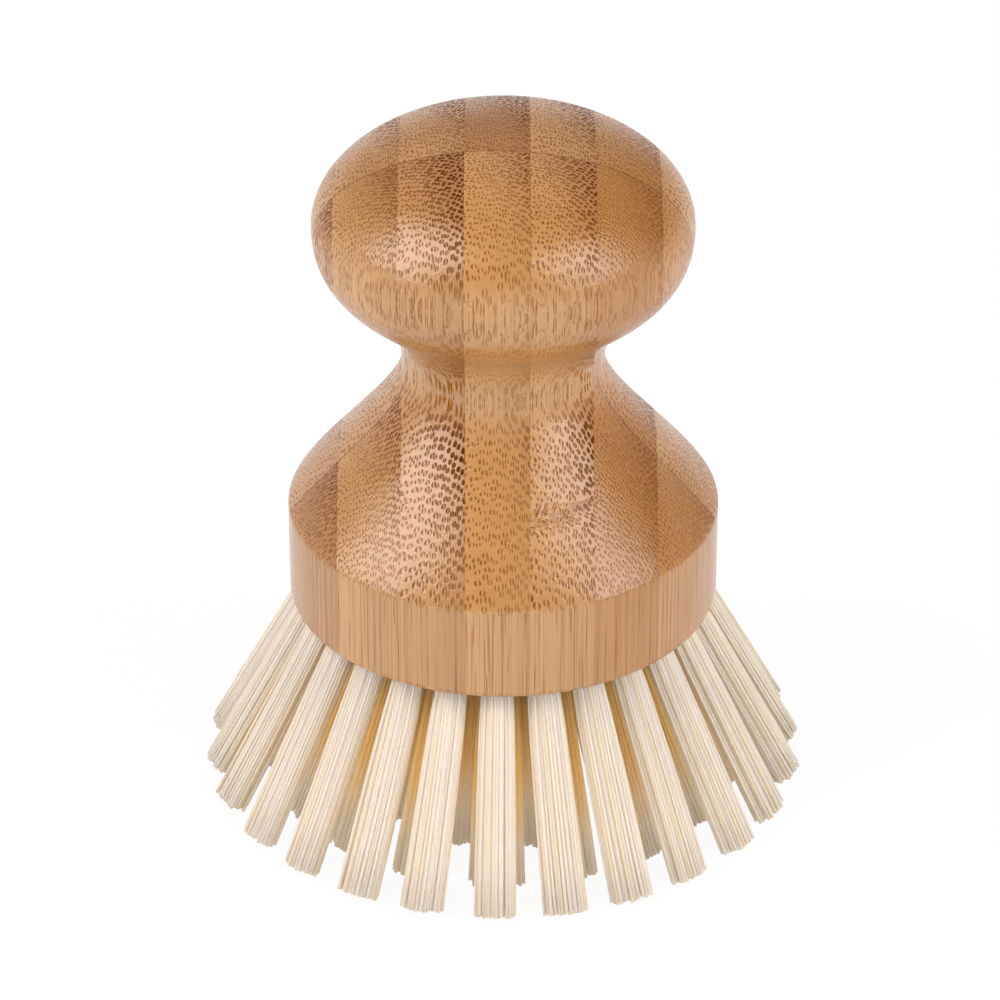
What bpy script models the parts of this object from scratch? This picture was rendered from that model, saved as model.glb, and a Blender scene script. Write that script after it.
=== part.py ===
"""Palm pot brush: a turned bamboo handle whose underside is drilled for rings of folded bristle tufts.

Heights are measured from the surface that the bristles stand on, and the front is -Y.
"""

import math

import bmesh
import bpy
from mathutils import Euler, Matrix, Vector
from mathutils.geometry import interpolate_bezier

# Turned handle
RIM_RADIUS = 0.0260
RIM_HEIGHT = 0.0118
RIM_EASING = 0.0006
NECK_RADIUS = 0.0121
NECK_RISE = 0.0200
KNOB_RADIUS = 0.0225
KNOB_RISE = 0.0374
CROWN_RISE = 0.0496
HANDLE_STEPS = 64
OUTLINE_STEPS = 10
EASING_STEPS = 3
SHARP_ANGLE = math.radians(20)

# How far the outline's smooth curves are pulled along their end directions, as shares of their spans
ROUND_SHARE = 0.56
TUCK_SHARE = 0.48
BELL_TOP_SHARE = 0.27
BELL_OUT_SHARE = 0.185
BELL_UP_SHARE = 0.23

# Tufts, each a bundle folded in half over a flat anchor wire; radii are measured to the flats
ROOT_RADIUS = 0.00175
ROOT_DEPTH = 0.0058
TIP_RADIUS = 0.0023
TUFT_LENGTH = 0.0285
TRIM_DEPTH = 0.0005
STRANDS = 7
STRAND_GAP = 0.0004

# Anchor wire, driven across the fold until its two ends bite into the wood
ANCHOR_BITE = 0.0003
ANCHOR_THICKNESS = 0.00035
ANCHOR_HEIGHT = 0.0016
ANCHOR_COVER = 0.0008
ANCHOR_TURN = math.radians(35)

# Drilled holes, which follow the roots and their anchors
SEAT_CLEARANCE = 0.0003
DRILL_OVERRUN = 0.0010
RIM_MARGIN = 0.0040
RING_PITCH = 0.0059
OUTER_SPACING = 0.0053
INNER_SPACING = 0.0056
FRONT_TURN = math.radians(-1.8)

# Each ring's lean as a share of the outer ring's, and its start as a share of its own angular step
OUTER_LEAN = math.radians(28)
RING_NAMES = ("outer", "second", "third", "centre")
LEAN_SHARES = (1, 0.86, 0.68, 0.33)
START_SHARES = (0, 0, 0.5, 0.5)

# The inner edge of the outer ring's square-cut tips sets how high the drilled face stands
FACE_HEIGHT = TUFT_LENGTH * math.cos(OUTER_LEAN) + TIP_RADIUS * math.sin(OUTER_LEAN) - TRIM_DEPTH
CREASE_HEIGHT = FACE_HEIGHT + RIM_HEIGHT

# Merging distance for points that meet on the axis
WELD = 0.00001


def clear_scene():
    for item in list(bpy.data.objects):
        bpy.data.objects.remove(item, do_unlink=True)


def make_collection(name):
    group = bpy.data.collections.new(name)
    bpy.context.scene.collection.children.link(group)
    return group


def make_material(name, colour, roughness):
    material = bpy.data.materials.new(name)
    material.use_nodes = True
    shader = material.node_tree.nodes["Principled BSDF"]
    shader.inputs["Base Color"].default_value = (*colour, 1)
    shader.inputs["Roughness"].default_value = roughness
    shader.inputs["Metallic"].default_value = 0
    return material


def bamboo():
    """Glued bamboo strips, turned and oiled."""
    return make_material("bamboo", (0.60, 0.36, 0.17), 0.30)


def bristle():
    """Pale stiff filament."""
    return make_material("bristle", (0.86, 0.79, 0.64), 0.55)


def evaluated_mesh(item):
    """The item's mesh with its modifiers applied; the item itself is removed."""
    bpy.context.view_layer.update()
    graph = bpy.context.evaluated_depsgraph_get()
    mesh = bpy.data.meshes.new_from_object(item.evaluated_get(graph))
    bpy.data.objects.remove(item, do_unlink=True)
    return mesh


def mesh_object(name, mesh, group):
    item = bpy.data.objects.new(name, mesh)
    group.objects.link(item)
    return item


def arc(start, start_pull, end_pull, end, steps):
    """Points of one smooth stretch of the turned outline, without its last point."""
    corners = [Vector((radius, 0, height)) for radius, height in (start, start_pull, end_pull, end)]
    return interpolate_bezier(*corners, steps + 1)[:-1]


def handle_outline():
    """Half outline, from the crown of the knob down the outside and in to the axis."""
    crown_height = CREASE_HEIGHT + CROWN_RISE
    knob_height = CREASE_HEIGHT + KNOB_RISE
    neck_height = CREASE_HEIGHT + NECK_RISE
    crown_pull = (ROUND_SHARE * KNOB_RADIUS, crown_height)
    knob_pull_up = (KNOB_RADIUS, knob_height + ROUND_SHARE * (CROWN_RISE - KNOB_RISE))
    knob_pull_down = (KNOB_RADIUS, knob_height - ROUND_SHARE * (KNOB_RISE - NECK_RISE))
    neck_pull_up = (NECK_RADIUS, neck_height + TUCK_SHARE * (KNOB_RISE - NECK_RISE))
    neck_pull_down = (NECK_RADIUS, neck_height - BELL_TOP_SHARE * NECK_RISE)
    crease_pull = (RIM_RADIUS - BELL_OUT_SHARE * (RIM_RADIUS - NECK_RADIUS),
                   CREASE_HEIGHT + BELL_UP_SHARE * NECK_RISE)
    knob = (KNOB_RADIUS, knob_height)
    neck = (NECK_RADIUS, neck_height)
    crease = (RIM_RADIUS, CREASE_HEIGHT)
    wall_foot = (RIM_RADIUS, FACE_HEIGHT + RIM_EASING)
    corner = (RIM_RADIUS, FACE_HEIGHT)
    face_edge = (RIM_RADIUS - RIM_EASING, FACE_HEIGHT)
    points = arc((0, crown_height), crown_pull, knob_pull_up, knob, OUTLINE_STEPS)
    points += arc(knob, knob_pull_down, neck_pull_up, neck, OUTLINE_STEPS)
    points += arc(neck, neck_pull_down, crease_pull, crease, OUTLINE_STEPS)
    points.append(Vector((RIM_RADIUS, 0, CREASE_HEIGHT)))
    points += arc(wall_foot, corner, corner, face_edge, EASING_STEPS)
    points.append(Vector((RIM_RADIUS - RIM_EASING, 0, FACE_HEIGHT)))
    points.append(Vector((0, 0, FACE_HEIGHT)))
    return points


def turned_mesh():
    """The handle as it leaves the lathe, before it is drilled."""
    profile = bpy.data.meshes.new("handle_profile")
    points = handle_outline()
    edges = [(number, number + 1) for number in range(len(points) - 1)]
    profile.from_pydata(points, edges, [])
    blank = mesh_object("handle_blank", profile, bpy.context.scene.collection)
    screw = blank.modifiers.new("turn", "SCREW")
    screw.steps = HANDLE_STEPS
    screw.render_steps = HANDLE_STEPS
    screw.use_merge_vertices = True
    screw.merge_threshold = WELD
    mesh = evaluated_mesh(blank)
    mesh.shade_smooth()
    mesh.set_sharp_from_angle(angle=SHARP_ANGLE)
    return mesh


def corner_radius(radius):
    """Radius over the corners of a prism that measures this radius to its flats."""
    return radius / math.cos(math.pi / STRANDS)


def mouth_depth(radius):
    """How far a leaning hole's mouth reaches along the hole's axis, to each side of its centre."""
    return corner_radius(radius) * math.tan(OUTER_LEAN)


def plug_object(radius, low, high):
    """A straight prism with a side for each strand, standing on the hole's axis."""
    bm = bmesh.new()
    corner = corner_radius(radius)
    bmesh.ops.create_cone(bm, cap_ends=True, segments=STRANDS, radius1=corner, radius2=corner,
                          depth=high - low, matrix=Matrix.Translation((0, 0, (high + low) / 2)))
    mesh = bpy.data.meshes.new("plug")
    bm.to_mesh(mesh)
    bm.free()
    return mesh_object("plug", mesh, bpy.context.scene.collection)


def anchor_object(grow):
    """The flat wire across the fold, near the bottom of the hole."""
    length = 2 * (ROOT_RADIUS + SEAT_CLEARANCE + ANCHOR_BITE + grow)
    size = (length, ANCHOR_THICKNESS + 2 * grow, ANCHOR_HEIGHT + 2 * grow)
    level = ROOT_DEPTH - ANCHOR_COVER - ANCHOR_HEIGHT / 2
    place = Matrix.Translation((0, 0, level)) @ Matrix.Rotation(ANCHOR_TURN, 4, "Z")
    bm = bmesh.new()
    bmesh.ops.create_cube(bm, size=1, matrix=place @ Matrix.Diagonal((*size, 1)))
    mesh = bpy.data.meshes.new("anchor")
    bm.to_mesh(mesh)
    bm.free()
    return mesh_object("anchor", mesh, bpy.context.scene.collection)


def root_mesh(grow, low):
    """The folded root and its anchor in one; grown by the clearance, the same shape drills the hole."""
    plug = plug_object(ROOT_RADIUS + grow, low, ROOT_DEPTH + grow)
    anchor = anchor_object(grow)
    join = plug.modifiers.new("anchor", "BOOLEAN")
    join.operation = "UNION"
    join.object = anchor
    mesh = evaluated_mesh(plug)
    bpy.data.objects.remove(anchor, do_unlink=True)
    return mesh


def tip_height(across, lean):
    """A tip's place along its tuft: cut square at full length, or where the tuft meets the ground."""
    ground = (across * math.sin(lean) - FACE_HEIGHT) / math.cos(lean)
    return max(-TUFT_LENGTH, ground)


def tuft_mesh(lean, material):
    """One tuft along its own axis: the root reaches up into its hole and the strands part downwards."""
    mesh = root_mesh(0, mouth_depth(ROOT_RADIUS))
    mesh.name = "tuft"
    bm = bmesh.new()
    bm.from_mesh(mesh)
    mouth = min(bm.faces, key=lambda face: face.calc_center_median().z)
    cells = bmesh.ops.poke(bm, faces=[mouth])["faces"]
    bmesh.ops.inset_individual(bm, faces=cells, thickness=STRAND_GAP / 2, use_even_offset=True)
    for tip in bmesh.ops.extrude_discrete_faces(bm, faces=cells)["faces"]:
        outward = tip.calc_center_median()
        outward.z = 0
        outward.normalize()
        for vert in tip.verts:
            vert.co += outward * (TIP_RADIUS - ROOT_RADIUS)
            vert.co.z = tip_height(vert.co.y, lean)
    bm.to_mesh(mesh)
    bm.free()
    mesh.materials.clear()
    mesh.materials.append(material)
    return mesh


def ring_leans():
    return [OUTER_LEAN * share for share in LEAN_SHARES]


def tuft_places():
    """Every tuft's name, ring, place on the drilled face and turn."""
    for ring, lean in enumerate(ring_leans()):
        radius = RIM_RADIUS - RIM_MARGIN - ring * RING_PITCH
        spacing = INNER_SPACING if ring else OUTER_SPACING
        count = int(math.tau * radius / spacing)
        for number in range(count):
            angle = FRONT_TURN + (number + START_SHARES[ring]) * math.tau / count
            location = Vector((radius * math.sin(angle), -radius * math.cos(angle), 0))
            yield f"{RING_NAMES[ring]}_tuft_{number + 1:02d}", ring, location, Euler((-lean, 0, angle))


def drill_object(group):
    """All the holes as one cutter."""
    below = mouth_depth(ROOT_RADIUS + SEAT_CLEARANCE) + DRILL_OVERRUN
    hole = root_mesh(SEAT_CLEARANCE, -below)
    bm = bmesh.new()
    for _, _, location, rotation in tuft_places():
        placed = hole.copy()
        placed.transform(Matrix.LocRotScale(location, rotation, None))
        bm.from_mesh(placed)
        bpy.data.meshes.remove(placed)
    mesh = bpy.data.meshes.new("drill")
    bm.to_mesh(mesh)
    bm.free()
    drill = mesh_object("drill", mesh, group)
    drill.display_type = "WIRE"
    drill.hide_render = True
    return drill


def make_handle(group, face, drill):
    """The turned handle, drilled from below."""
    mesh = turned_mesh()
    mesh.name = "handle"
    mesh.transform(Matrix.Translation((0, 0, -FACE_HEIGHT)))
    mesh.materials.append(bamboo())
    handle = mesh_object("handle", mesh, group)
    handle.parent = face
    cut = handle.modifiers.new("holes", "BOOLEAN")
    cut.operation = "DIFFERENCE"
    cut.object = drill
    return handle


def make_tufts(group, face):
    """One object for each tuft; the tufts of a ring share their mesh."""
    material = bristle()
    meshes = [tuft_mesh(lean, material) for lean in ring_leans()]
    for name, ring, location, rotation in tuft_places():
        tuft = mesh_object(name, meshes[ring], group)
        tuft.parent = face
        tuft.location = location
        tuft.rotation_euler = rotation


def main():
    clear_scene()
    parts = make_collection("pot_brush")
    cutters = make_collection("cutters")
    face = bpy.data.objects.new("drilled_face", None)
    parts.objects.link(face)
    face.location = (0, 0, FACE_HEIGHT)
    drill = drill_object(cutters)
    drill.parent = face
    make_handle(parts, face, drill)
    make_tufts(parts, face)
    bpy.context.view_layer.update()


main()
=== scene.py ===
"""Looks of the palm pot brush: a lacquered bamboo handle and cut cream bristles, on a pale studio floor.

Lengths are metres in the model's own frame, heights are measured from the floor, and the front is -Y.
"""

import math
import random

import bmesh
import bpy
from mathutils import Euler, Matrix, Vector
from mathutils.geometry import interpolate_bezier


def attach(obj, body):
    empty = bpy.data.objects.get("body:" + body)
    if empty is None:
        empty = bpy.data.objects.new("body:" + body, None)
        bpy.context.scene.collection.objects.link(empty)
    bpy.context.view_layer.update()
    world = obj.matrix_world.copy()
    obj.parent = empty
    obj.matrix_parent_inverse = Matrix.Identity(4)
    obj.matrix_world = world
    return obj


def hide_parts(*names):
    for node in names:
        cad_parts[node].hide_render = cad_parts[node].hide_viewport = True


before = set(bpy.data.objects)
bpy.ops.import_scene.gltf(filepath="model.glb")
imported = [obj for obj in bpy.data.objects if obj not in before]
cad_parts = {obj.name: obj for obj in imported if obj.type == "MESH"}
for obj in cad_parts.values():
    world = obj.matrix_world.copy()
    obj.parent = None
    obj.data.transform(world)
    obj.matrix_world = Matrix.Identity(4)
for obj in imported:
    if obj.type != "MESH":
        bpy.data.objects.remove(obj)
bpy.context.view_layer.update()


# Handle: a block glued up from upright bamboo strips, turned on a lathe to a round knob, a waist for
# the fingers and a bell with a straight rim. Its flat underside is drilled with rings of leaning blind
# holes, and the wood is sanded and lacquered.
FACE_HEIGHT = 0.025744
CREASE_HEIGHT = 0.037544
NECK_HEIGHT = 0.057544
KNOB_HEIGHT = 0.074944
CROWN_HEIGHT = 0.087140
RIM_RADIUS = 0.0260
NECK_RADIUS = 0.0121
KNOB_RADIUS = 0.0225
KNOB_FULLNESS = 0.56
WAIST_HOLLOW = 0.48
BELL_START = 0.27
BELL_END = (0.185, 0.23)
CREASE_EASING = 0.0004
RIM_EASING = 0.0006
TURN_STEPS = 192
CURVE_STEPS = 36
EASING_STEPS = 4
SHARP_ANGLE = math.radians(30)
WELD = 0.00001


def outline_stretch(start, start_pull, end_pull, end, steps):
    """Points of one smooth stretch of the turned outline, without its last point."""
    corners = [Vector((radius, 0, height)) for radius, height in (start, start_pull, end_pull, end)]
    return interpolate_bezier(*corners, steps + 1)[:-1]


def turned_outline():
    """Half outline: from the crown down the outside and in to the axis, its edges eased by sanding."""
    crown_pull = (KNOB_FULLNESS * KNOB_RADIUS, CROWN_HEIGHT)
    knob_pull_up = (KNOB_RADIUS, KNOB_HEIGHT + KNOB_FULLNESS * (CROWN_HEIGHT - KNOB_HEIGHT))
    knob_pull_down = (KNOB_RADIUS, KNOB_HEIGHT - KNOB_FULLNESS * (KNOB_HEIGHT - NECK_HEIGHT))
    neck_pull_up = (NECK_RADIUS, NECK_HEIGHT + WAIST_HOLLOW * (KNOB_HEIGHT - NECK_HEIGHT))
    neck_pull_down = (NECK_RADIUS, NECK_HEIGHT - BELL_START * (NECK_HEIGHT - CREASE_HEIGHT))
    crease_pull = (RIM_RADIUS - BELL_END[0] * (RIM_RADIUS - NECK_RADIUS),
                   CREASE_HEIGHT + BELL_END[1] * (NECK_HEIGHT - CREASE_HEIGHT))
    knob = (KNOB_RADIUS, KNOB_HEIGHT)
    neck = (NECK_RADIUS, NECK_HEIGHT)
    crease = (RIM_RADIUS, CREASE_HEIGHT)
    points = outline_stretch((0, CROWN_HEIGHT), crown_pull, knob_pull_up, knob, CURVE_STEPS)
    points += outline_stretch(knob, knob_pull_down, neck_pull_up, neck, CURVE_STEPS)
    bell = outline_stretch(neck, neck_pull_down, crease_pull, crease, CURVE_STEPS)
    edge = Vector((RIM_RADIUS, 0, CREASE_HEIGHT))
    bell = [point for point in bell if (point - edge).length > CREASE_EASING]
    eased = (bell[-1].x, bell[-1].z)
    wall_top = (RIM_RADIUS, CREASE_HEIGHT - CREASE_EASING)
    wall_foot = (RIM_RADIUS, FACE_HEIGHT + RIM_EASING)
    corner = (RIM_RADIUS, FACE_HEIGHT)
    face_edge = (RIM_RADIUS - RIM_EASING, FACE_HEIGHT)
    points += bell[:-1]
    points += outline_stretch(eased, crease, crease, wall_top, EASING_STEPS)
    points.append(Vector((wall_top[0], 0, wall_top[1])))
    points += outline_stretch(wall_foot, corner, corner, face_edge, EASING_STEPS)
    return points + [Vector((face_edge[0], 0, FACE_HEIGHT)), Vector((0, 0, FACE_HEIGHT))]


def applied_mesh(piece):
    """The piece's mesh with its modifiers applied; the piece itself is removed."""
    graph = bpy.context.evaluated_depsgraph_get()
    mesh = bpy.data.meshes.new_from_object(piece.evaluated_get(graph))
    bpy.data.objects.remove(piece, do_unlink=True)
    return mesh


def new_piece(name, mesh):
    piece = bpy.data.objects.new(name, mesh)
    bpy.context.scene.collection.objects.link(piece)
    return piece


# Rings of holes: name, radius, number of holes, turn of the first one in steps, and lean
FRONT_TURN = math.radians(-1.8)
RINGS = (
    ("outer", 0.0220, 26, 0.0, math.radians(28.0)),
    ("second", 0.0161, 18, 0.0, math.radians(24.08)),
    ("third", 0.0102, 11, 0.5, math.radians(19.04)),
    ("centre", 0.0043, 4, 0.5, math.radians(9.24)),
)
HOLE_RADIUS = 0.00208
HOLE_DEPTH = 0.0061
HOLE_SIDES = 20
DRILL_OVERRUN = 0.001


def tuft_places():
    """Each tuft's node name, its lean, and the placement that stands it in its hole."""
    for ring, radius, count, start, lean in RINGS:
        for number in range(count):
            angle = FRONT_TURN + (number + start) * math.tau / count
            mouth = Vector((radius * math.sin(angle), -radius * math.cos(angle), FACE_HEIGHT))
            placement = Matrix.LocRotScale(mouth, Euler((-lean, 0, angle)), None)
            yield f"{ring}_tuft_{number + 1:02d}", lean, placement


profile = bpy.data.meshes.new("turned_outline")
outline = turned_outline()
profile.from_pydata(outline, [(index, index + 1) for index in range(len(outline) - 1)], [])
blank = new_piece("turned_blank", profile)
turn = blank.modifiers.new("turn", "SCREW")
turn.steps = TURN_STEPS
turn.render_steps = TURN_STEPS
turn.use_merge_vertices = True
turn.merge_threshold = WELD

drill = bmesh.new()
for _, lean, placement in tuft_places():
    overrun = DRILL_OVERRUN + HOLE_RADIUS * math.tan(lean)
    middle = Matrix.Translation((0, 0, (HOLE_DEPTH - overrun) / 2))
    bmesh.ops.create_cone(drill, cap_ends=True, segments=HOLE_SIDES, radius1=HOLE_RADIUS,
                          radius2=HOLE_RADIUS, depth=HOLE_DEPTH + overrun, matrix=placement @ middle)
drill_mesh = bpy.data.meshes.new("drill")
drill.to_mesh(drill_mesh)
drill.free()
cutter = new_piece("drill", drill_mesh)
holes = blank.modifiers.new("holes", "BOOLEAN")
holes.operation = "DIFFERENCE"
holes.object = cutter
handle_mesh = applied_mesh(blank)
bpy.data.objects.remove(cutter, do_unlink=True)
handle_mesh.shade_smooth()
handle_mesh.set_sharp_from_angle(angle=SHARP_ANGLE)
handle = new_piece("turned_handle", handle_mesh)


class Wire:
    """A link in a material's node tree. Sums, products and the like of wires add Math nodes."""

    def __init__(self, tree, socket=None):
        self.tree = tree
        self.socket = socket

    def add(self, kind, settings=None, inputs=None, output=0):
        """A new node of that kind: its settings come first, then the values or wires of its sockets."""
        node = self.tree.nodes.new("ShaderNode" + kind)
        for name, value in (settings or {}).items():
            if name == "stops":
                elements = node.color_ramp.elements
                while len(elements) < len(value):
                    elements.new(1)
                for element, (position, colour) in zip(elements, value):
                    element.position = position
                    element.color = (*colour, 1)
            elif name == "between":
                node.color_ramp.interpolation = value
            else:
                setattr(node, name, value)
        for name, value in (inputs or {}).items():
            if isinstance(value, Wire):
                self.tree.links.new(value.socket, node.inputs[name])
            else:
                node.inputs[name].default_value = value
        return Wire(self.tree, node.outputs[output] if node.outputs else None)

    def other(self, output):
        """Another output of the node that this wire comes from."""
        return Wire(self.tree, self.socket.node.outputs[output])

    def math(self, operation, *values):
        return self.add("Math", {"operation": operation}, dict(enumerate(values)))

    def __add__(self, value):
        return self.math("ADD", self, value)

    def __sub__(self, value):
        return self.math("SUBTRACT", self, value)

    def __mul__(self, value):
        return self.math("MULTIPLY", self, value)

    def __truediv__(self, value):
        return self.math("DIVIDE", self, value)

    def __rsub__(self, value):
        return self.math("SUBTRACT", value, self)

    __radd__ = __add__
    __rmul__ = __mul__

    def __abs__(self):
        return self.math("ABSOLUTE", self)

    def __floor__(self):
        return self.math("FLOOR", self)

    def ease(self, start, end):
        """0 at the start and 1 at the end, with a smooth run between them."""
        return self.add("MapRange", {"interpolation_type": "SMOOTHSTEP"},
                        {"Value": self, "From Min": start, "From Max": end})

    def mixed(self, first, second, blend="MIX"):
        """Two colours, the second laid over the first by this wire's share."""
        inputs = {"Factor": self, "A": first, "B": second}
        return self.add("Mix", {"data_type": "RGBA", "blend_type": blend}, inputs, "Result")


def new_finish(name):
    """An empty material, and the wire that its nodes are added to."""
    material = bpy.data.materials.new(name)
    material.use_nodes = True
    material.node_tree.nodes.clear()
    return material, Wire(material.node_tree)


# Bamboo, measured in millimetres: boards one behind the other, each of upright strips side by side. A
# strip goes from few, open bundles of fibre at its left to many dark ones at its right, where the stalk
# had its skin, and sanding has worn it a little hollow between its seams.
MILLIMETRES = 1000.0
STRIP_WIDTH = 7.6
STRIP_START = 3.1
STRIPS_ACROSS = 8
BOARD_THICKNESS = 22.0
BOARD_SEAM = -4.6
BOARD_TURN = 0.03

# For each strip from left to right, first in the middle board and then in the front one: its tone, how
# strongly its bundles show, and how fine they are
STRIPS = (
    (0.80, 0.85, 0.50), (0.80, 0.95, 0.45), (0.80, 1.00, 0.45), (0.64, 1.00, 0.55),
    (0.80, 1.00, 0.40), (0.72, 0.95, 0.55), (0.80, 0.85, 0.55), (0.80, 0.80, 0.50),
    (0.72, 0.80, 0.75), (0.84, 0.80, 0.70), (0.80, 1.00, 0.35), (0.87, 0.78, 0.35),
    (0.83, 0.90, 0.35), (0.69, 0.75, 0.80), (0.72, 0.75, 0.75), (0.82, 0.75, 0.70),
)

bamboo, wood = new_finish("lacquered_bamboo")
place = wood.add("TexCoord", output="Object")
place = wood.add("VectorMath", {"operation": "SCALE"}, {0: place, "Scale": MILLIMETRES})
across = wood.add("SeparateXYZ", inputs={0: place}, output="X")
depth = across.other("Y")
height = across.other("Z")

board_step = (depth + across * BOARD_TURN - BOARD_SEAM) / BOARD_THICKNESS
board = math.floor(board_step)
strip_step = (across - STRIP_START) / STRIP_WIDTH
strip = math.floor(strip_step)
along = strip_step - strip
front = board - 2 * math.floor(board / 2)
into_board = board_step - board
strip_number = strip + STRIPS_ACROSS // 2 + STRIPS_ACROSS * front

stops = [(number / len(STRIPS), kind) for number, kind in enumerate(STRIPS)]
kind = wood.add("ValToRGB", {"stops": stops, "between": "CONSTANT"},
                {"Fac": (strip_number + 0.5) / len(STRIPS)})
tone = wood.add("SeparateColor", inputs={0: kind}, output="Red")
boldness = tone.other("Green")
fineness = tone.other("Blue")

# How full and dark a bundle is: more so towards the right of its strip, the back of its board, and in a
# bold strip
UNRIPE = 0.75
ripe = 0.5 * along + 0.5 * into_board + 0.9 * boldness - UNRIPE

# How much the surface faces up or down: a flat one cuts the bundles across, a standing one along
facing = wood.add("NewGeometry", output="Normal")
facing_up = wood.add("SeparateXYZ", inputs={0: facing}, output="Z")
level = abs(facing_up).ease(0.15, 0.50)
end_grain = abs(facing_up).ease(0.18, 0.60)

# A knot of the stalk in one front strip: a narrow, wrinkled, darker band that rises and falls a little
KNOT_STRIP = 12
KNOT_HEIGHT = 46.0
KNOT_REACH = 1.3
KNOT_RISE = 2.4
KNOT_RISE_SCALE = 0.45
WRINKLE_SCALE = (0.5, 0.5, 2.4)
flattened = wood.add("VectorMath", {"operation": "MULTIPLY"}, {0: place, 1: WRINKLE_SCALE})
wrinkles = wood.add("TexNoise", inputs={
    "Vector": flattened, "Scale": 1.0, "Detail": 3.0, "Roughness": 0.6})
knot_rise = KNOT_RISE * wood.add("TexNoise", inputs={
    "Vector": place, "Scale": KNOT_RISE_SCALE, "Detail": 2.0})
knot = abs(height + knot_rise - (KNOT_HEIGHT + KNOT_RISE / 2)).ease(KNOT_REACH, 0.2)
knot = knot * abs(strip_number - KNOT_STRIP).ease(0.6, 0.4)

# Bundles of fibre: the cells of a grid seen from above. They wander a little, crowd towards one side of
# a strip, and are shifted from strip to strip, so that no two strips look the same.
BUNDLE_PITCH = 0.80
FINER_PITCH = 0.34
GRID_TURN = math.radians(28)
CROWDING = 0.38
GRID_DISORDER = 0.5
WANDER = 0.5
WANDER_SCALE = 0.3
SHIFT_ACROSS = 3.7
SHIFT_DEPTH = 11.3
UPRIGHT_STRETCH = 0.006
upright_place = wood.add("VectorMath", {"operation": "MULTIPLY"}, {
    0: place, 1: (1.0, 1.0, UPRIGHT_STRETCH)})
wander = wood.add("TexNoise", inputs={
    "Vector": upright_place, "Scale": WANDER_SCALE, "Detail": 2.0}, output="Color")
wander_across = wood.add("SeparateColor", inputs={0: wander}, output="Red")
wander_depth = wander_across.other("Green")
pitch = BUNDLE_PITCH - FINER_PITCH * fineness
grid_across = (strip + along * (1 - CROWDING + CROWDING * along)) * STRIP_WIDTH
grid_across = grid_across + SHIFT_ACROSS * strip_number + WANDER * wander_across + 0.9 * knot * wrinkles
grid_depth = into_board * (1 - CROWDING + CROWDING * into_board) * BOARD_THICKNESS
grid_depth = grid_depth + SHIFT_DEPTH * strip_number + WANDER * wander_depth + 0.7 * knot
grid_x = (math.cos(GRID_TURN) * grid_across - math.sin(GRID_TURN) * grid_depth) / pitch
grid_y = (math.sin(GRID_TURN) * grid_across + math.cos(GRID_TURN) * grid_depth) / pitch
grid = wood.add("CombineXYZ", inputs={0: grid_x, 1: grid_y})
middle = wood.add("TexVoronoi", {"voronoi_dimensions": "2D"},
                  {"Vector": grid, "Scale": 1.0, "Randomness": GRID_DISORDER}, output="Position")
luck = wood.add("SeparateColor", inputs={0: middle.other("Color")}, output="Red")
from_middle = wood.add("VectorMath", {"operation": "SUBTRACT"}, {0: grid, 1: middle})
from_x = wood.add("SeparateXYZ", inputs={0: from_middle}, output="X")
from_y = from_x.other("Y")

# Each bundle is an oval dot. An open one has a pale heart between two crescents, and a ripe one is full.
HALF_ACROSS = 0.29
HALF_DEEP = 0.15
size = (0.86 + 0.28 * luck) * (1.22 - 0.55 * fineness)
half_across = (HALF_ACROSS - 0.05 * ripe) * size * (0.62 + 0.38 * level)
half_deep = (HALF_DEEP + 0.065 * ripe) * size
aside = (math.cos(GRID_TURN) * from_x + math.sin(GRID_TURN) * from_y) * pitch / half_across
inward = (math.cos(GRID_TURN) * from_y - math.sin(GRID_TURN) * from_x) * pitch / half_deep
reach = wood.math("SQRT", aside * aside + inward * inward)
cap = reach.ease(1.18, 0.92)
heart = abs(aside).ease(0.52, 0.20) * (1 - ripe.ease(0.45, 1.00))
bundle = cap * (1 - heart) * (0.80 + 0.20 * luck)
bowl = 0.5 * cap + 0.5 * reach.ease(1.40, 0.0)

# Grain along the strips: dark lines where bundles are cut along, fine fibres and broad bands, and clouds
# of tone over the whole block
GRAIN_STRETCH = 0.012
LINE_SCALE = 1.8
FIBRE_SCALE = 7.0
BAND_SCALE = 0.5
CLOUD_SCALE = 0.14
lines = wood.add("TexNoise", inputs={
    "Vector": upright_place, "Scale": LINE_SCALE, "Detail": 3.0, "Roughness": 0.6})
line = abs(lines - 0.5).ease(0.018, 0.005) * (1 - level)
stretch = wood.add("VectorMath", {"operation": "MULTIPLY"}, {0: place, 1: (1.0, 1.0, GRAIN_STRETCH)})
fibres = wood.add("TexNoise", inputs={"Vector": stretch, "Scale": FIBRE_SCALE, "Detail": 2.0})
bands = wood.add("TexNoise", inputs={"Vector": stretch, "Scale": BAND_SCALE, "Detail": 2.0})
clouds = wood.add("TexNoise", inputs={"Vector": place, "Scale": CLOUD_SCALE, "Detail": 2.0})

# Seams: thin lines of glue, dark between two boards and faint between two strips. Each pair is the
# distance from the seam's middle at which its line starts, and the distance at which it is full.
STRIP_SEAM_REACH = (0.09, 0.03)
BOARD_SEAM_REACH = (0.11, 0.05)
STRIP_SEAM_SHARE = 0.15
BOARD_SEAM_SHARE = 0.75
strip_seam = ((0.5 - abs(along - 0.5)) * STRIP_WIDTH).ease(*STRIP_SEAM_REACH)
board_seam = ((0.5 - abs(into_board - 0.5)) * BOARD_THICKNESS).ease(*BOARD_SEAM_REACH)
seam = strip_seam.math("MAXIMUM", STRIP_SEAM_SHARE * strip_seam, BOARD_SEAM_SHARE * board_seam)

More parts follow.
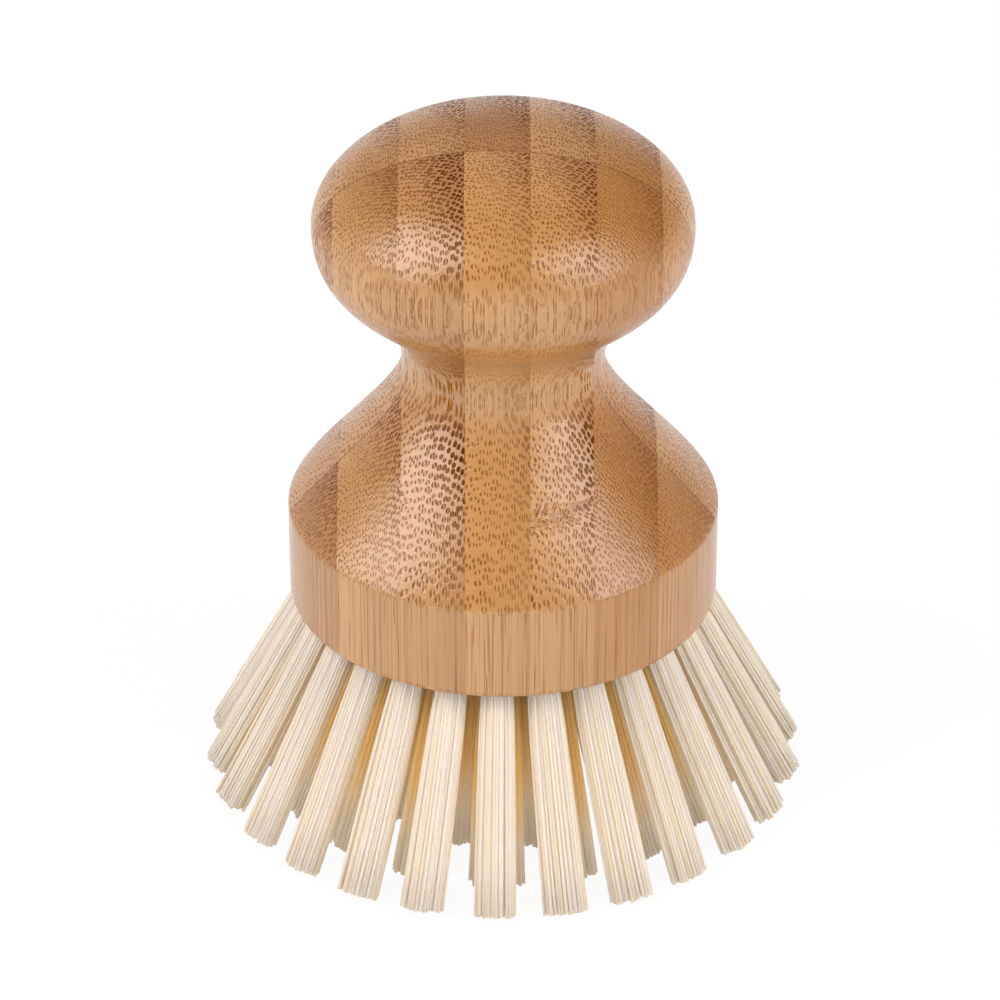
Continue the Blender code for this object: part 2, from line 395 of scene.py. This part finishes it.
# Colours, laid over each other in this order: the wood, darker strips, painted light on the neck's
# shade, wood between ripe bundles, the knot, lines, bundles and seams
# Middle height and reach in millimetres of the painted light at the neck
NECK_LIGHT_MIDDLE = 62.7
NECK_LIGHT_REACH = 4.5
LONG_GRAIN = (0.410, 0.220, 0.090, 1)
END_GRAIN = (0.385, 0.185, 0.060, 1)
DARK_STRIP_TINT = (1.0, 0.84, 0.62, 1)
# Painted light: a paler, brighter colour laid over the shaded neck under the knob
NECK_PAINTED_LIGHT = (0.460, 0.300, 0.170, 1)
RIPE_WOOD = (0.250, 0.080, 0.018, 1)
KNOT_BROWN = (0.200, 0.070, 0.016, 1)
LINE_BROWN = (0.270, 0.082, 0.008, 1)
STREAK_BROWN = (0.250, 0.080, 0.008, 1)
OPEN_BUNDLE = (0.180, 0.053, 0.004, 1)
RIPE_BUNDLE = (0.072, 0.013, 0.001, 1)
SEAM_BROWN = (0.150, 0.050, 0.016, 1)
# Painted light: a band around the waist, in the knob's shade, where the tone is raised (0.14) and paled
neck = abs(height - NECK_LIGHT_MIDDLE).ease(NECK_LIGHT_REACH, 1.5)
figure = 0.74 + 0.22 * fibres + 0.18 * bands + 0.12 * clouds
shade = tone * (1.28 - 0.12 * along + 0.14 * neck) * figure
ground = end_grain.mixed(LONG_GRAIN, END_GRAIN)
ground = tone.ease(0.84, 0.62).mixed(ground, DARK_STRIP_TINT, "MULTIPLY")
# Painted light laid over the neck band
ground = (0.24 * neck).mixed(ground, NECK_PAINTED_LIGHT)
ground = wood.add("Mix", {"data_type": "RGBA", "blend_type": "MULTIPLY"},
                  {"Factor": 1.0, "A": ground, "B": shade}, "Result")
bend = abs(facing_up).ease(0.0, 0.08)
shown_upright = (0.08 + 0.22 * along * along + 0.85 * bend) * (1 - level)
shown_level = level * (0.4 + 0.6 * end_grain) * (1 - 0.4 * facing_up.ease(0.0, -0.3))
darkness = bundle * (0.55 + 0.45 * boldness) * (shown_upright + shown_level)
scorched = (0.60 * level * ripe.ease(0.50, 1.05)).mixed(ground, RIPE_WOOD)
knotted = (0.45 * knot * wrinkles.ease(0.62, 0.42)).mixed(scorched, KNOT_BROWN)
streaked = (0.95 * line).mixed(knotted, LINE_BROWN)
bundle_colour = (level * ripe.ease(0.40, 1.00)).mixed(OPEN_BUNDLE, RIPE_BUNDLE)
bundle_colour = level.mixed(STREAK_BROWN, bundle_colour)
dotted = darkness.mixed(streaked, bundle_colour)
joined = seam.mixed(dotted, SEAM_BROWN)

# Surface: hollow strips, sanded grain, pits over the bundles and wrinkles on the knot, under a gloss
# lacquer that sinks into the bundles and leaves them dull
STRIP_HOLLOW = 1.9
GRAIN_SCALE = 3.0
RELIEF_DEPTH = 0.00007
LACQUER_IOR = 1.62
DULL_ROUGHNESS = 0.6
off_strip = 2 * along - 1
hollow = STRIP_HOLLOW * off_strip * off_strip
pits = bowl * (0.18 + 0.32 * boldness) * (0.35 + 0.65 * level)
grain = wood.add("TexNoise", inputs={"Vector": place, "Scale": GRAIN_SCALE, "Detail": 2.0})
relief = hollow + 0.60 * grain + 0.15 * fibres - pits - 0.4 * line + 3.0 * knot * wrinkles
dents = wood.add("Bump", inputs={"Strength": 1.0, "Distance": RELIEF_DEPTH, "Height": relief})
lacquered = wood.add("BsdfPrincipled", inputs={
    "Base Color": joined, "Roughness": 0.155 + 0.10 * clouds, "IOR": LACQUER_IOR, "Normal": dents})
dull = wood.add("BsdfPrincipled", inputs={
    "Base Color": joined, "Roughness": DULL_ROUGHNESS, "Specular IOR Level": 0.0, "Normal": dents})
sunk = darkness.ease(0.05, 0.80) * (0.42 + 0.58 * ripe.ease(0.35, 0.90))
surface = wood.add("MixShader", inputs={0: sunk, 1: lacquered, 2: dull})
wood.add("OutputMaterial", inputs={"Surface": surface})

handle_mesh.materials.clear()
handle_mesh.materials.append(bamboo)
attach(handle, "root")
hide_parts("handle")


# Tufts: each is a bundle of stiff cream filaments, folded in half over a short flat wire that is driven
# across its hole until its ends bite into the wood. The two halves part a little towards their tips,
# which are cut square, and trimmed level where they reach the floor.
TUFT_LENGTH = 0.0285
CUT_UNEVENNESS = 0.0004
TRIM_UNEVENNESS = 0.0002
FILAMENT_RADIUS = 0.00021
FILAMENT_SIDES = 5
FILAMENT_SPACING = 0.00034
FILAMENT_BOW = 0.00007
FILAMENT_STRAY = 0.00009
BUNDLE_RADIUS = 0.00170
TUFT_SWAY = 0.0003
FLARES = {"outer": 1.32, "second": 1.72, "third": 1.65, "centre": 1.45}
FLARE_LUCK = (-0.08, 0.26)
FLARE_CURVE = 0.6
FLARE_ALONG_WIRE = 0.20
BOW_TURN = 2.5
COLUMN_START = 0.58
LEG_STEPS = (1.0, 0.72, 0.46, 0.22, 0.0)
WIRE_TURN = math.radians(35)
WIRE_SIZE = (0.0047, 0.00035, 0.0016)
WIRE_LEVEL = 0.0042
FOLD_LEVEL = 0.0048
FOLD_STEPS = 4
FOLD_PACKING = 0.85
FOLD_RISE = 0.45
FLOOR_CLEARANCE = 0.0000001


def folded_places():
    """Where one half of the bundle's filaments stand: distance from the wire, and place along it."""
    column_pitch = FILAMENT_SPACING * math.sqrt(3) / 2
    columns = int(BUNDLE_RADIUS / column_pitch) + 1
    rows = int(BUNDLE_RADIUS / FILAMENT_SPACING) + 1
    for column in range(columns):
        for row in range(-rows, rows + 1):
            away = (column + COLUMN_START) * column_pitch
            beside = (row + 0.5 * (column % 2)) * FILAMENT_SPACING
            if math.hypot(away, beside) < BUNDLE_RADIUS:
                yield away, beside


def turned(away, beside):
    """A place beside the wire, in the tuft's own frame."""
    return Vector((away, beside)) @ Matrix.Rotation(-WIRE_TURN, 2)


def floor_level(flat, lean):
    """How far down its own axis a leaning tuft meets the floor at that place."""
    return (flat.y * math.sin(lean) - FACE_HEIGHT) / math.cos(lean)


def filament_leg(away, beside, lean, flare, sway, luck):
    """One half of a folded filament, from its cut tip up to the mouth of the hole."""
    bow = Vector((luck.uniform(-1, 1), luck.uniform(-1, 1))) * FILAMENT_BOW
    stray = Vector((luck.uniform(-1, 1), luck.uniform(-1, 1))) * FILAMENT_STRAY
    cut = TUFT_LENGTH - luck.random() * CUT_UNEVENNESS
    trim = luck.random() * TRIM_UNEVENNESS
    points = []
    for share in LEG_STEPS:
        flat = turned(away, beside)
        flat.x *= 1 + (flare - 1) * share ** FLARE_CURVE
        flat.y *= 1 + FLARE_ALONG_WIRE * (flare - 1) * share
        flat += bow * math.sin(BOW_TURN * share) + stray * share
        flat.x += sway * share * share
        if share == 1:
            length = max(-cut, floor_level(flat, lean) + trim)
        points.append(Vector((*flat, length * share)))
    return points


def filament_path(away, beside, lean, flare, sway, luck):
    """A whole filament: down one side, over the wire and down the other."""
    first = filament_leg(away, beside, lean, flare, sway, luck)
    second = filament_leg(-away, beside, lean, flare, sway, luck)
    pressed = WIRE_SIZE[1] / 2 + FILAMENT_RADIUS + FOLD_PACKING * max(0, away - FILAMENT_SPACING / 2)
    fold = []
    for step in range(FOLD_STEPS + 1):
        angle = math.pi * step / FOLD_STEPS
        rise = (FILAMENT_RADIUS + FOLD_RISE * pressed) * math.sin(angle)
        fold.append(Vector((*turned(pressed * math.cos(angle), beside), FOLD_LEVEL + rise)))
    return first + fold + second[::-1]


def add_filament(bm, path, lean):
    """A closed round tube along the path; its cut ends don't go below the floor."""
    beside = Vector((*turned(0, 1), 0))
    rings = []
    for number, point in enumerate(path):
        ahead = path[min(number + 1, len(path) - 1)] - path[max(number - 1, 0)]
        out = beside.cross(ahead).normalized()
        over = ahead.cross(out).normalized()
        ring = []
        for corner in range(FILAMENT_SIDES):
            angle = math.tau * corner / FILAMENT_SIDES
            place = point + (out * math.cos(angle) + over * math.sin(angle)) * FILAMENT_RADIUS
            place.z = max(place.z, floor_level(place, lean) + FLOOR_CLEARANCE)
            ring.append(bm.verts.new(place))
        rings.append(ring)
    for low, high in zip(rings, rings[1:]):
        for corner in range(FILAMENT_SIDES):
            after = (corner + 1) % FILAMENT_SIDES
            face = bm.faces.new((low[corner], low[after], high[after], high[corner]))
            face.smooth = True
    bm.faces.new(rings[0][::-1])
    bm.faces.new(rings[-1])


def tuft_mesh(name, lean):
    """The folded bundle and its wire. The name starts the draw of its small unevenness."""
    luck = random.Random(name)
    sway = luck.uniform(-1, 1) * TUFT_SWAY
    flare = FLARES[name.split("_")[0]] + luck.uniform(*FLARE_LUCK)
    bm = bmesh.new()
    for away, beside in folded_places():
        add_filament(bm, filament_path(away, beside, lean, flare, sway, luck), lean)
    place = Matrix.Translation((0, 0, WIRE_LEVEL)) @ Matrix.Rotation(WIRE_TURN + math.pi / 2, 4, "Z")
    wire = bmesh.ops.create_cube(bm, size=1, matrix=place @ Matrix.Diagonal((*WIRE_SIZE, 1)))
    for face in {face for vert in wire["verts"] for face in vert.link_faces}:
        face.material_index = 1
    bmesh.ops.recalc_face_normals(bm, faces=bm.faces)
    mesh = bpy.data.meshes.new(name)
    bm.to_mesh(mesh)
    bm.free()
    return mesh


# Filament: stiff cream fibre that lets warm light through. Its tone differs a little from one filament
# to the next. Towards the roots inside the brush it is tinted deep gold: painted shade for the dim, warm
# light that reaches there through other filaments.
TRANSLUCENT_SHARE = 0.36
TRANSLUCENT_COLOUR = (0.990, 0.900, 0.720, 1)
GOLDEN_CREAM = (0.775, 0.655, 0.500, 1)
PALE_CREAM = (0.800, 0.737, 0.690, 1)
STAINED_CREAM = (0.850, 0.725, 0.530, 1)
# Painted shade: deep gold for the filaments inside the brush
INNER_SHADE_GOLD = (0.900, 0.610, 0.160, 1)
FILAMENT_IOR = 1.45
# Where the painted shade starts and is full: inward of the outer tufts, and up towards the roots
INNER_SHADE_REACH = (-0.0010, 0.0050)
ROOT_SHADE_REACH = (0.0020, 0.0140)
STAIN_SCALE = (2600.0, 2600.0, 160.0)
bristle, fibre = new_finish("cream_filament")
each = fibre.add("NewGeometry", output="Random Per Island")
at = fibre.add("TexCoord", output="Object")
low = fibre.add("SeparateXYZ", inputs={0: at}, output="Z")
flat_at = fibre.add("VectorMath", {"operation": "MULTIPLY"}, {0: at, 1: (1.0, 1.0, 0.0)})
out_at = fibre.add("VectorMath", {"operation": "LENGTH"}, {0: flat_at}, output="Value")
brush_side = RINGS[0][1] + (FACE_HEIGHT - low) * math.tan(RINGS[0][4])
# Painted shade: 1 inside the outer tufts and high up near the roots, 0 on the outside and at the tips
painted_inner_shade = (brush_side - out_at).ease(*INNER_SHADE_REACH) * low.ease(*ROOT_SHADE_REACH)
lengthwise = fibre.add("VectorMath", {"operation": "MULTIPLY"}, {0: at, 1: STAIN_SCALE})
stain = fibre.add("TexNoise", inputs={"Vector": lengthwise, "Scale": 1.0, "Detail": 2.0})
cream = each.ease(0.05, 0.45).mixed(GOLDEN_CREAM, PALE_CREAM)
cream = (0.25 * stain).mixed(cream, STAINED_CREAM)
# Painted shade laid over the cream
cream = (0.84 * painted_inner_shade).mixed(cream, INNER_SHADE_GOLD)
outside = fibre.add("BsdfPrincipled", inputs={
    "Base Color": cream, "Roughness": 0.38 + 0.15 * stain, "IOR": FILAMENT_IOR})
through = fibre.add("BsdfTranslucent", inputs={"Color": TRANSLUCENT_COLOUR})
surface = fibre.add("MixShader", inputs={0: TRANSLUCENT_SHARE, 1: outside, 2: through})
fibre.add("OutputMaterial", inputs={"Surface": surface})

# Anchor wire: drawn and galvanised, with fine scratches
DULL_ZINC = (0.52, 0.52, 0.50, 1)
BRIGHT_ZINC = (0.66, 0.66, 0.65, 1)
SCRATCH_SCALE = 9000.0
galvanised, metal = new_finish("galvanised_wire")
scratches = metal.add("TexCoord", output="Object")
scratches = metal.add("VectorMath", {"operation": "SCALE"}, {0: scratches, "Scale": SCRATCH_SCALE})
scratches = metal.add("TexNoise", inputs={"Vector": scratches, "Scale": 1.0, "Detail": 2.0})
surface = metal.add("BsdfPrincipled", inputs={
    "Base Color": scratches.mixed(DULL_ZINC, BRIGHT_ZINC),
    "Metallic": 1.0, "Roughness": 0.30 + 0.25 * scratches})
metal.add("OutputMaterial", inputs={"Surface": surface})

for node, lean, placement in tuft_places():
    mesh = tuft_mesh(node, lean)
    mesh.transform(placement)
    mesh.materials.append(bristle)
    mesh.materials.append(galvanised)
    tuft = new_piece(f"{node}_filaments", mesh)
    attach(tuft, "root")
    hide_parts(node)


# Studio: a plain white floor that runs out of sight, in a white room. The camera sees most of its
# brightness as the white of the background, and the rest is lit, so that it keeps the brush's shadow.
WHITE = (1, 1, 1, 1)
PAPER_WHITE = (0.90, 0.90, 0.90, 1)
FLOOR_REACH = 3.0
FLOOR_WHITE = 0.92
WALL_LIGHT = 1.60
CEILING_LIGHT = 0.05
CEILING_FADE = (0.20, 0.90)
SEEN_WALL = 1.0
SEEN_DIM_WALL = 0.30
SEEN_CEILING_FADE = (0.01, 0.44)
SEEN_DIM_FADE = (0.05, 0.65)


def seen(wire):
    """1 for what is seen straight on, in a reflection or through glass, and 0 for what gives light."""
    camera = wire.add("LightPath", output="Is Camera Ray")
    mirrored = camera.math("MAXIMUM", camera, camera.other("Is Glossy Ray"))
    return camera.math("MAXIMUM", mirrored, camera.other("Is Transmission Ray"))


floor_mesh = bpy.data.meshes.new("floor")
corners = [(-FLOOR_REACH, -FLOOR_REACH, 0), (FLOOR_REACH, -FLOOR_REACH, 0),
           (FLOOR_REACH, FLOOR_REACH, 0), (-FLOOR_REACH, FLOOR_REACH, 0)]
floor_mesh.from_pydata(corners, [], [(0, 1, 2, 3)])
floor = new_piece("floor", floor_mesh)
paper, white = new_finish("white_paper")
lit = white.add("BsdfDiffuse", inputs={"Color": PAPER_WHITE})
glow = white.add("Emission", inputs={"Color": WHITE, "Strength": 1.0})
shown = white.add("MixShader", inputs={0: FLOOR_WHITE * seen(white), 1: lit, 2: glow})
white.add("OutputMaterial", inputs={"Surface": shown})
floor_mesh.materials.append(paper)

# The room gives light by its walls and hardly by its ceiling. What is seen of it, also as a reflection,
# is white at the left, dimmer at the right and dark overhead.
room = bpy.data.worlds.new("room")
room.use_nodes = True
room.node_tree.nodes.clear()
air = Wire(room.node_tree)
up = air.add("SeparateXYZ", inputs={0: air.add("TexCoord", output="Generated")}, output="Z")
to_the_right = up.other("X")
lit_walls = air.add("Background", inputs={"Color": WHITE, "Strength": WALL_LIGHT})
ceiling = air.add("Background", inputs={"Color": WHITE, "Strength": CEILING_LIGHT})
lighting = air.add("MixShader", inputs={0: up.ease(*CEILING_FADE), 1: lit_walls, 2: ceiling})
white_walls = air.add("Background", inputs={"Color": WHITE, "Strength": SEEN_WALL})
dim_walls = air.add("Background", inputs={"Color": WHITE, "Strength": SEEN_DIM_WALL})
to_dim_wall = to_the_right.ease(*SEEN_DIM_FADE)
walls = air.add("MixShader", inputs={0: to_dim_wall, 1: white_walls, 2: dim_walls})
shown = air.add("MixShader", inputs={0: up.ease(*SEEN_CEILING_FADE), 1: walls, 2: ceiling})
everything = air.add("MixShader", inputs={0: seen(air), 1: lighting, 2: shown})
air.add("OutputWorld", inputs={"Surface": everything})
bpy.context.scene.world = room

# Softboxes: name, turn from the front and rise above the horizon in degrees, width, height, power in
# watts, and the share of the light that shines through the thin filaments: only the wood and the floor
# stand in its way
SOFTBOXES = (
    ("left_softbox", -70, 43, 0.46, 0.66, 4.6, 0.52),
    ("right_softbox", 61, 35, 0.44, 0.68, 4.2, 0.64),
    ("back_softbox", 180, 50, 0.70, 0.70, 0.7, 0.52),
)
SOFTBOX_DISTANCE = 0.8
LIT_POINT = Vector((0, 0, 0.05))
opaque = bpy.data.collections.new("opaque")
opaque.objects.link(handle)
opaque.objects.link(floor)


def new_softbox(name, side, rise, width, tall, power):
    """A rectangular lamp that faces the brush."""
    side, rise = math.radians(side), math.radians(rise)
    away = Vector((math.sin(side) * math.cos(rise), -math.cos(side) * math.cos(rise), math.sin(rise)))
    lamp = bpy.data.lights.new(name, "AREA")
    lamp.shape = "RECTANGLE"
    lamp.size = width
    lamp.size_y = tall
    lamp.energy = power
    box = bpy.data.objects.new(name, lamp)
    bpy.context.scene.collection.objects.link(box)
    box.location = LIT_POINT + away * SOFTBOX_DISTANCE
    box.rotation_euler = away.to_track_quat("Z", "Y").to_euler()
    return box


for name, *place_and_size, power, shining_through in SOFTBOXES:
    new_softbox(name, *place_and_size, power * (1 - shining_through))
    box = new_softbox(name + "_through", *place_and_size, power * shining_through)
    box.light_linking.blocker_collection = opaque

# Panels in the same form: each softens the edge of a softbox's reflection, and adds no other light
PANELS = (
    ("left_panel", -70, 43, 0.56, 0.78, 5.4),
    ("right_panel", 61, 35, 0.52, 0.76, 1.4),
)
for panel in PANELS:
    box = new_softbox(*panel)
    box.visible_diffuse = False
    box.visible_transmission = False


# Camera: a long lens a little more than half a metre away, which looks down on the brush from the front.
# Its frame is moved sideways by a hair, so that the brush stands as it does in the photograph.
CAMERA_DISTANCE = 0.57194
CAMERA_RISE = math.radians(31.6676)
CAMERA_AIM = Vector((0, 0, 0.0370))
LENS_LENGTH = 170.07
FILM_WIDTH = 36.0
FRAME_SHIFT = -0.0033
NEAREST_SEEN = 0.01
FARTHEST_SEEN = 20.0
camera_data = bpy.data.cameras.new("camera")
camera_data.lens = LENS_LENGTH
camera_data.sensor_width = FILM_WIDTH
camera_data.shift_x = FRAME_SHIFT
camera_data.clip_start = NEAREST_SEEN
camera_data.clip_end = FARTHEST_SEEN
camera = bpy.data.objects.new("camera", camera_data)
bpy.context.scene.collection.objects.link(camera)
back = Vector((0, -math.cos(CAMERA_RISE), math.sin(CAMERA_RISE)))
camera.location = CAMERA_AIM + back * CAMERA_DISTANCE
camera.rotation_euler = back.to_track_quat("Z", "Y").to_euler()
bpy.context.scene.camera = camera
bpy.context.scene.view_settings.view_transform = "Standard"
